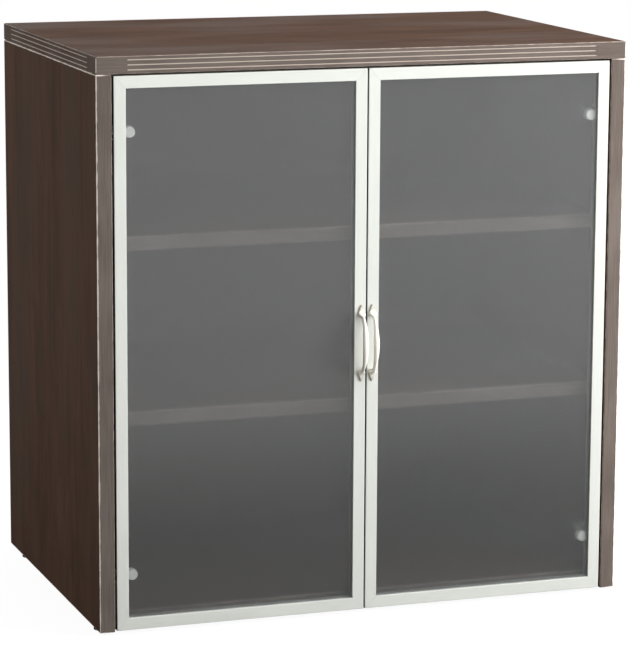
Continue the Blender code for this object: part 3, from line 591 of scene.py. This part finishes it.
def screw_mesh(name, radius, height):
    """A pan head with a cross recess, standing on z = 0 and facing +Z."""
    bm = bmesh.new()
    profile = [(radius * 0.94, 0.0), (radius, height * 0.12)]
    for i in range(6):
        angle = math.radians(15 + 75 * i / 5)
        rise = 0.12 + 0.88 * math.sin(angle)
        profile.append((radius * math.cos(angle) + 0.0001, height * rise))
    turned(bm, profile, SCREW_SIDES)
    head = finished_mesh(name, bm)
    bm = bmesh.new()
    arm, half_slot, depth = radius * CROSS_ARM, radius * CROSS_HALF_SLOT, height * CROSS_DEPTH
    for across, up in ((arm, half_slot), (half_slot, arm)):
        middle = Matrix.Translation((0.0, 0.0, height - depth + height / 2))
        size = Matrix.Diagonal((across * 2, up * 2, height, 1.0))
        bmesh.ops.create_cube(bm, size=1.0, matrix=middle @ size)
    first, second = split_in_two(bm)
    return cut(cut(head, first), second)


def split_in_two(bm):
    """The two boxes of a cross, each as a mesh of its own."""
    halves = []
    for keep in (0, 1):
        part = bm.copy()
        part.verts.ensure_lookup_table()
        drop = part.verts[8:] if keep == 0 else part.verts[:8]
        bmesh.ops.delete(part, geom=drop, context="VERTS")
        halves.append(finished_mesh(f"cross_{keep}", part))
    bm.free()
    return halves


def place_piece(name, mesh, place, facing, look, body, turn=0.0):
    """Stand a mesh at a place with its +Z along facing, on a body, in a slot's finish."""
    piece = bpy.data.objects.new(name, mesh)
    bpy.context.collection.objects.link(piece)
    turned_about_own_axis = Matrix.Rotation(math.radians(turn), 4, "Z")
    aim = Vector(facing).to_track_quat("Z", "Y").to_matrix().to_4x4()
    piece.matrix_world = Matrix.Translation(place) @ aim @ turned_about_own_axis
    if not mesh.materials:
        mesh.materials.append(look)
    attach(piece, body)
    return piece


def build_hinge_screws(looks):
    """For each hinge, two screws in its plate, two in its cup and two in its arm."""
    plate_screw = screw_mesh("plate_screw", *PLATE_SCREW)
    cup_screw = screw_mesh("cup_screw", *CUP_SCREW)
    arm_screw = screw_mesh("arm_screw", *ARM_SCREW)
    for side_name, side in SIDES.items():
        for height_name in ("upper", "lower"):
            hinge = f"{side_name}_{height_name}_hinge"
            low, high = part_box(f"{hinge}_mounting_plate")
            outer_x = low.x if side < 0 else high.x
            middle_z = (low.z + high.z) / 2
            wing_x = outer_x - side * PLATE_WING_THICKNESS
            wing = Vector((wing_x, low.y + PLATE_WING_FROM_FRONT, 0.0))
            for number, sign in enumerate((1, -1)):
                wing.z = middle_z + sign * PLATE_SCREW_OFFSET
                place_piece(f"{hinge}_plate_screw_{number}", plate_screw, wing, (-side, 0, 0),
                            looks["zinc_steel"], "case", turn=20 + 35 * number)

            low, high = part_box(f"{hinge}_cup")
            edge_x = low.x if side < 0 else high.x
            flange = Vector((edge_x - side * CUP_SCREW_FROM_EDGE, high.y, 0.0))
            for number, sign in enumerate((1, -1)):
                flange.z = middle_z + sign * CUP_SCREW_OFFSET
                place_piece(f"{hinge}_cup_screw_{number}", cup_screw, flange, (0, 1, 0),
                            looks["zinc_steel"], f"{side_name}_door",
                            turn=10 + 50 * number)

            low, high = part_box(f"{hinge}_arm")
            seat_x = (high.x if side < 0 else low.x) + side * ARM_SCREW_SUNK
            for number, setback in enumerate(ARM_SCREWS_FROM_FRONT):
                place_piece(f"{hinge}_arm_screw_{number}", arm_screw,
                            (seat_x, low.y + setback, middle_z), (-side, 0, 0),
                            looks["zinc_steel"], "case", turn=45 * number)


def hinge_cap_mesh():
    """A flat cap for a hinge cup, with a neck towards -X, standing on z = 0."""
    neck_x, neck_half = HINGE_CAP_NECK
    open_angle = math.asin(neck_half / HINGE_CAP_RADIUS)
    outline = [(neck_x, neck_half), (neck_x, -neck_half)]
    for i in range(HINGE_CAP_STEPS + 1):
        angle = -math.pi + open_angle + 2 * (math.pi - open_angle) * i / HINGE_CAP_STEPS
        outline.append((HINGE_CAP_RADIUS * math.cos(angle), HINGE_CAP_RADIUS * math.sin(angle)))
    bm = bmesh.new()
    rings = [[bm.verts.new((x, y, z)) for x, y in outline] for z in (0.0, HINGE_CAP_HEIGHT)]
    close_prism(bm, rings)
    bmesh.ops.recalc_face_normals(bm, faces=bm.faces[:])
    rim = [edge for edge in bm.edges if all(v.co.z > HINGE_CAP_HEIGHT / 2 for v in edge.verts)]
    bmesh.ops.bevel(bm, geom=rim, offset=HINGE_CAP_EASING, segments=3, affect="EDGES")
    return finished_mesh("hinge_cap", bm, smooth_below=50)


def build_hinge_caps(looks):
    """A pale cap over each hinge cup, which shows through the glass."""
    cap = hinge_cap_mesh()
    for side_name, side in SIDES.items():
        front_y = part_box(f"{side_name}_door_hinge_stile")[0].y
        for height_name in ("upper", "lower"):
            hinge = f"{side_name}_{height_name}_hinge"
            low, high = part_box(f"{hinge}_cup")
            tip_x = high.x if side < 0 else low.x
            place = (tip_x + side * HINGE_CUP_RADIUS, front_y + HINGE_CUP_BEHIND_FACE - GAP,
                     (low.z + high.z) / 2)
            place_piece(f"{hinge}_cap", cap, place, (0, -1, 0), looks["hinge_nickel"],
                        f"{side_name}_door", turn=0 if side < 0 else 180)


def build_corner_keys(looks):
    """Thin plates that close the mitred corners of the door frames."""
    for side_name, side in SIDES.items():
        hinge_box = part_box(f"{side_name}_door_hinge_stile")
        meeting_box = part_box(f"{side_name}_door_meeting_stile")
        outer_x = min(hinge_box[0].x, meeting_box[0].x)
        inner_x = max(hinge_box[1].x, meeting_box[1].x)
        low_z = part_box(f"{side_name}_door_bottom_rail")[0].z
        high_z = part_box(f"{side_name}_door_top_rail")[1].z
        corners = [(outer_x, 1, low_z, 1), (inner_x, -1, low_z, 1),
                   (outer_x, 1, high_z, -1), (inner_x, -1, high_z, -1)]
        for number, (x, step_x, z, step_z) in enumerate(corners):
            half = Vector((step_x, -step_z, 0.0)).normalized() * CORNER_KEY_THICKNESS / 2
            bm = bmesh.new()
            rings = []
            for sign in (-1, 1):
                points = [Vector((step_x * u, step_z * u, -v)) for u, v in CORNER_KEY]
                rings.append([bm.verts.new(point + half * sign) for point in points])
            close_prism(bm, rings)
            name = f"{side_name}_door_corner_key_{number}"
            place_piece(name, finished_mesh(name, bm), (x, hinge_box[0].y, z), (0, -1, 0),
                        looks["aluminium_level"], f"{side_name}_door")


def build_bumpers(looks):
    """Soft dots behind the doors' bottom rails, which meet the bottom panel."""
    bm = bmesh.new()
    radius, length = BUMPER_RADIUS, BUMPER_LENGTH
    dome = radius * 0.97
    profile = [(radius * 0.96, 0.0), (radius, length * 0.08), (dome, length * BUMPER_STRAIGHT)]
    for degrees in (20, 40, 60, 80):
        angle = math.radians(degrees)
        rise = BUMPER_STRAIGHT + (1 - BUMPER_STRAIGHT) * math.sin(angle)
        profile.append((dome * math.cos(angle) + 0.0002, length * rise))
    turned(bm, profile, BUMPER_SIDES)
    bumper = finished_mesh("bumper", bm, smooth_below=60)
    for side_name, side in SIDES.items():
        low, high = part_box(f"{side_name}_door_bottom_rail")
        place = (side * BUMPER_FROM_MEETING, high.y, (low.z + high.z) / 2)
        place_piece(f"{side_name}_door_bumper", bumper, place, (0, 1, 0), looks["glazing_seal"],
                    f"{side_name}_door")


def build_catch_screws(looks):
    """Two screws that hold the catch up to the top panel."""
    low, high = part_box("magnetic_catch")
    screw = screw_mesh("catch_screw", *CATCH_SCREW)
    for number, sign in enumerate((-1, 1)):
        place = (sign * (high.x - CATCH_SCREW_FROM_END),
                 (low.y + high.y) / 2 + CATCH_SCREW_BEHIND_MIDDLE, low.z)
        place_piece(f"magnetic_catch_screw_{number}", screw, place, (0, 0, -1),
                    looks["zinc_steel"], "case", turn=30 * number)


def wedge_mesh(name, length, width, height):
    """A wedge that stands on z = 0, tallest along its +Y edge, with rounded corners."""
    bm = bmesh.new()
    outline = [(-width / 2, 0.0), (width / 2, 0.0), (width / 2, height),
               (width * BACK_CLIP_FLAT, height), (-width / 2, height * BACK_CLIP_LOW_SIDE)]
    rings = [[bm.verts.new((x, y, z)) for y, z in outline] for x in (-length / 2, length / 2)]
    close_prism(bm, rings)
    bmesh.ops.recalc_face_normals(bm, faces=bm.faces[:])
    bmesh.ops.bevel(bm, geom=bm.edges[:], offset=BACK_CLIP_EASING, segments=2, affect="EDGES")
    return finished_mesh(name, bm, smooth_below=35)


def build_back_clips(looks):
    """Screwed wedges that hold the back board in the case, tall side to the panels."""
    length, width, height = BACK_CLIP
    clip = wedge_mesh("back_clip", length, width, height)
    screw = screw_mesh("clip_screw", *CLIP_SCREW)
    low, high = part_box("back_panel")
    places = []
    for i in range(BACK_CLIPS_EACH_SIDE):
        z = low.z + (high.z - low.z) * (i + 0.5) / BACK_CLIPS_EACH_SIDE
        places += [(low.x + width / 2, z, -90), (high.x - width / 2, z, 90)]
    for i in range(BACK_CLIPS_ACROSS):
        x = low.x + (high.x - low.x) * (i + 0.5) / BACK_CLIPS_ACROSS
        places.append((x, high.z - width / 2 - GAP, 0))
    for number, (x, z, turn) in enumerate(places):
        place_piece(f"back_clip_{number}", clip, (x, high.y + GAP, z), (0, 1, 0),
                    looks["black_plastic"], "case", turn=turn)
        slope_top = high.y + height * BACK_CLIP_SCREW_RISE
        place_piece(f"back_clip_screw_{number}", screw, (x, slope_top, z), (0, 1, 0),
                    looks["zinc_steel"], "case", turn=17 * number)


# ---------------------------------------------------------------- stage, light and camera


def build_stage(looks):
    """The floor."""
    bm = bmesh.new()
    bmesh.ops.create_grid(bm, x_segments=8, y_segments=8, size=FLOOR_HALF)
    mesh = bpy.data.meshes.new("floor")
    bm.to_mesh(mesh)
    bm.free()
    mesh.materials.append(looks["floor"])
    floor = bpy.data.objects.new("floor", mesh)
    bpy.context.collection.objects.link(floor)


def soft_panel(name, place, size, power):
    """A square light aimed at the case, which glossy faces don't mirror."""
    light = bpy.data.lights.new(name, "AREA")
    light.shape = "SQUARE"
    light.size = size
    light.energy = power
    holder = bpy.data.objects.new(name, light)
    towards = Vector(LIGHTS_AIM) - Vector(place)
    holder.location = place
    holder.rotation_euler = towards.to_track_quat("-Z", "Y").to_euler()
    holder.visible_glossy = False
    bpy.context.collection.objects.link(holder)


def build_surround():
    """A smooth gradient all round, which the camera itself sees as plain white."""
    world = bpy.data.worlds.new("surround")
    bpy.context.scene.world = world
    world.use_nodes = True
    nodes, links = world.node_tree.nodes, world.node_tree.links
    background = nodes["Background"]
    background.inputs["Color"].default_value = (1.0, 1.0, 1.0, 1.0)
    direction = nodes.new("ShaderNodeTexCoord").outputs["Generated"]
    facing = nodes.new("ShaderNodeVectorMath")
    facing.operation = "DOT_PRODUCT"
    facing.inputs[1].default_value = Vector(SURROUND_TOWARDS).normalized()
    links.new(direction, facing.inputs[0])
    level = nodes.new("ShaderNodeMapRange")
    level.interpolation_type = "SMOOTHSTEP"
    level.inputs["From Min"].default_value = SURROUND_START
    level.inputs["To Min"].default_value = SURROUND_DIM
    level.inputs["To Max"].default_value = SURROUND_BRIGHT
    links.new(facing.outputs["Value"], level.inputs["Value"])
    choice = nodes.new("ShaderNodeMix")
    links.new(nodes.new("ShaderNodeLightPath").outputs["Is Camera Ray"], choice.inputs[0])
    links.new(level.outputs[0], choice.inputs[2])
    choice.inputs[3].default_value = 1.0
    links.new(choice.outputs[0], background.inputs["Strength"])


def build_light():
    """The surround, and a soft panel from the right, the left, above and behind."""
    build_surround()
    soft_panel("key_panel", KEY_PLACE, KEY_SIZE, KEY_POWER)
    soft_panel("fill_panel", FILL_PLACE, FILL_SIZE, FILL_POWER)
    soft_panel("overhead_panel", OVERHEAD_PLACE, OVERHEAD_SIZE, OVERHEAD_POWER)
    soft_panel("rear_panel", REAR_PLACE, REAR_SIZE, REAR_POWER)


def build_camera():
    """A long lens in front of the case, to its left and a little above it."""
    camera = bpy.data.cameras.new("camera")
    camera.lens = CAMERA_LENS
    camera.clip_end = 200.0
    aim = (Matrix.Rotation(CAMERA_YAW, 4, "Z") @ Matrix.Rotation(CAMERA_PITCH, 4, "X")
           @ Matrix.Rotation(CAMERA_ROLL, 4, "Y"))
    facing_forward = Matrix.Rotation(math.radians(90), 4, "X")
    holder = bpy.data.objects.new("camera", camera)
    holder.matrix_world = Matrix.Translation(CAMERA_PLACE) @ aim @ facing_forward
    bpy.context.collection.objects.link(holder)
    bpy.context.scene.camera = holder


# ---------------------------------------------------------------- scene


def main():
    looks = {
        # The stiles carry painted shade on their outer edges, for the shadow in the gaps
        "aluminium_upright": brushed_metal("aluminium_upright", ALUMINIUM, "z", 0.50, 0.12, 0.02,
                                           painted_gap_shade),
        "aluminium_level": brushed_metal("aluminium_level", ALUMINIUM, "x", 0.50, 0.12, 0.02),
        "frosted_glass": frosted_glass(),
        "glazing_seal": moulded("glazing_seal", PALE_RUBBER, 0.7, 900.0, 0.0001),
        # The handles carry painted shade on their low feet
        "handle_nickel": brushed_metal("handle_nickel", HANDLE_CREAM, "z", 0.38, 0.20, 0.03,
                                       painted_foot_shade),
        "hinge_nickel": brushed_metal("hinge_nickel", HINGE_PALE, "y", 0.34, 0.08, 0.03),
        "zinc_steel": brushed_metal("zinc_steel", ZINC, "x", 0.34, 0.8, 0.06),
        "black_plastic": moulded("black_plastic", BLACK_PLASTIC, 0.45, 1100.0, 0.0001),
        "back_board": back_board(),
        "floor": floor_finish(),
    }
    finish_nodes(looks)
    build_hinge_screws(looks)
    build_hinge_caps(looks)
    build_corner_keys(looks)
    build_bumpers(looks)
    build_catch_screws(looks)
    build_back_clips(looks)
    build_stage(looks)
    build_light()
    build_camera()
    bpy.context.scene.view_settings.view_transform = "Standard"


main()
